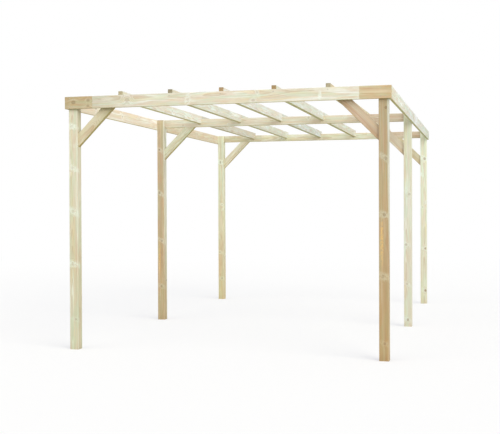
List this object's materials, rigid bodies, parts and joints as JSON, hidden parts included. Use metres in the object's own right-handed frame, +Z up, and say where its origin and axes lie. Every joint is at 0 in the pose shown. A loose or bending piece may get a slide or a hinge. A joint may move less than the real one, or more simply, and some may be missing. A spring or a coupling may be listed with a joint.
{
  "type": "timber carport frame",
  "caption": "Open timber carport frame: square posts, cross beams, side and front boards, notched joists in two bays and mitred corner braces, with no roof covering.",
  "frame": {"origin": "on the ground under the middle of the frame's bounding box", "axes": "+X to the right seen from the entrance, +Y away from the entrance towards the back posts, +Z up"},
  "size_m": [3.206, 5.258, 2.54],
  "materials": {
    "post_timber": "planed, pressure-treated softwood, uncoated",
    "beam_timber": "planed, pressure-treated softwood, uncoated",
    "joist_timber": "planed, pressure-treated softwood, uncoated",
    "brace_timber": "planed, pressure-treated softwood, uncoated",
    "board_timber": "planed, pressure-treated softwood, uncoated",
    "screws": "zinc-plated and passivated, worn bright at the rims"
  },
  "bodies": {
    "root": {"post_front_left": "post_timber", "post_front_right": "post_timber", "post_middle_left": "post_timber", "post_middle_right": "post_timber", "post_back_left": "post_timber", "post_back_right": "post_timber", "front_beam": "beam_timber", "middle_beam": "beam_timber", "back_beam": "beam_timber", "front_board": "board_timber", "rail_front_left": "board_timber", "rail_front_right": "board_timber", "rail_back_left": "board_timber", "rail_back_right": "board_timber", "joist_front_1": "joist_timber", "joist_front_2": "joist_timber", "joist_front_3": "joist_timber", "joist_front_4": "joist_timber", "joist_front_5": "joist_timber", "joist_back_1": "joist_timber", "joist_back_2": "joist_timber", "joist_back_3": "joist_timber", "joist_back_4": "joist_timber", "joist_back_5": "joist_timber", "brace_front_left": "brace_timber", "brace_front_right": "brace_timber", "brace_middle_left": "brace_timber", "brace_middle_right": "brace_timber", "brace_back_left": "brace_timber", "brace_back_right": "brace_timber"}
  },
  "joints": []
}
